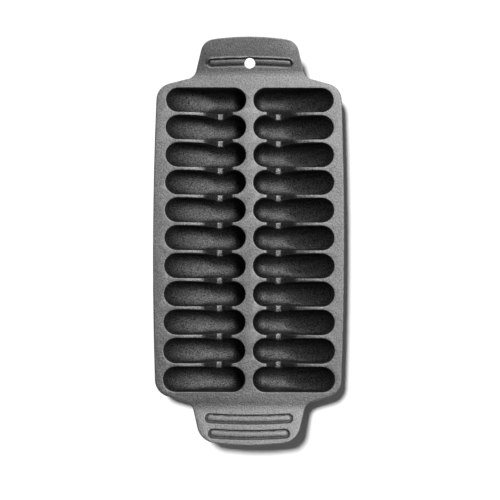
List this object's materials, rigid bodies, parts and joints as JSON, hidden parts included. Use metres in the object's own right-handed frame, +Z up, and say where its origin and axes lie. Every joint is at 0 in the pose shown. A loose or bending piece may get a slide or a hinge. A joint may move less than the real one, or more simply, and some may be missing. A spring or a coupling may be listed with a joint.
{
  "type": "shrimp grill pan",
  "caption": "Long cast-iron grill pan with two columns of shrimp-shaped wells, notched ribs between them, a lifted grip tab at each end and a hanging hole.",
  "frame": {"origin": "centre of the pan's footprint, on the plane that the feet stand on", "axes": "+Z up out of the wells, +Y along the pan towards the grip with the hanging hole, +X across the pan to the right"},
  "size_m": [0.2108, 0.445, 0.0394],
  "materials": {
    "seasoned_iron": "seasoned satin black-grey with a fine sand-cast grain"
  },
  "bodies": {
    "root": {"pan_casting": "seasoned_iron"}
  },
  "joints": []
}
